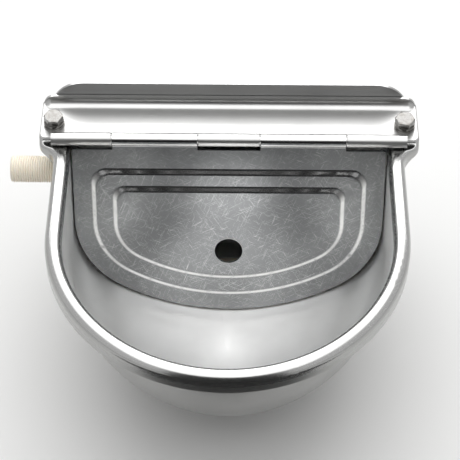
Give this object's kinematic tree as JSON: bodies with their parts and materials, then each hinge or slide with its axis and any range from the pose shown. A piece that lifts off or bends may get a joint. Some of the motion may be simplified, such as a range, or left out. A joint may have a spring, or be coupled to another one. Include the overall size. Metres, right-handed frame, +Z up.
{
  "type": "livestock drinking bowl",
  "caption": "Wall-hung stainless steel drinking bowl with a rolled rim, a hinged embossed lid and a float valve fed by a threaded side inlet.",
  "frame": {"origin": "on the wall face at mid width, level with the ears under the cover plate", "axes": "+X to the right, +Y into the wall, +Z up; the bowl's front is towards -Y"},
  "size_m": [0.3111, 0.256, 0.1878],
  "materials": {
    "polished_steel": "mirror-polished stainless sheet",
    "satin_steel": "satin stainless sheet, finely scratched",
    "fastener_steel": "bright cold-formed stainless fasteners",
    "ivory_plastic": "moulded ivory plastic",
    "white_plastic": "moulded white plastic",
    "black_rubber": "black rubber"
  },
  "bodies": {
    "bowl": {"bowl_shell": "polished_steel", "cover_plate": "polished_steel", "hinge_pin": "polished_steel", "cover_bolts": "fastener_steel", "cover_spring_washers": "fastener_steel", "cover_washers": "fastener_steel", "cover_nuts": "fastener_steel", "inlet_body": "ivory_plastic", "inlet_gasket": "black_rubber", "inlet_washer": "fastener_steel", "inlet_locknut": "ivory_plastic", "inlet_strainer": "ivory_plastic", "arm_pivot_pin": "fastener_steel", "drain_gasket": "black_rubber", "drain_fitting": "ivory_plastic", "drain_locknut": "ivory_plastic"},
    "lid": {"lid": "satin_steel"},
    "float_arm": {"float_arm": "ivory_plastic", "float_nut": "fastener_steel", "float_body": "white_plastic"},
    "piston": {"valve_piston": "ivory_plastic", "piston_seal": "black_rubber"},
    "drain_cap": {"drain_cap": "ivory_plastic"}
  },
  "joints": [
    {"name": "lid_hinge", "type": "hinge", "parent": "bowl", "child": "lid", "pos_m": [0, -0.041, 0.001], "axis": [-1, 0, 0], "range_deg": [0, 165]},
    {"name": "float_swing", "type": "hinge", "parent": "bowl", "child": "float_arm", "pos_m": [-0.0845, -0.033, -0.054], "axis": [0, -1, 0], "range_deg": [0, 18]},
    {"name": "piston_slide", "type": "slide", "parent": "bowl", "child": "piston", "axis": [-1, 0, 0], "range_m": [0, 0.0041]},
    {"name": "drain_cap_pull", "type": "slide", "parent": "bowl", "child": "drain_cap", "axis": [0, 0, -1], "range_m": [0, 0.03]}
  ],
  "couplings": [
    {"joint": "piston_slide", "follows": "float_swing", "m_per_rad": 0.013}
  ]
}
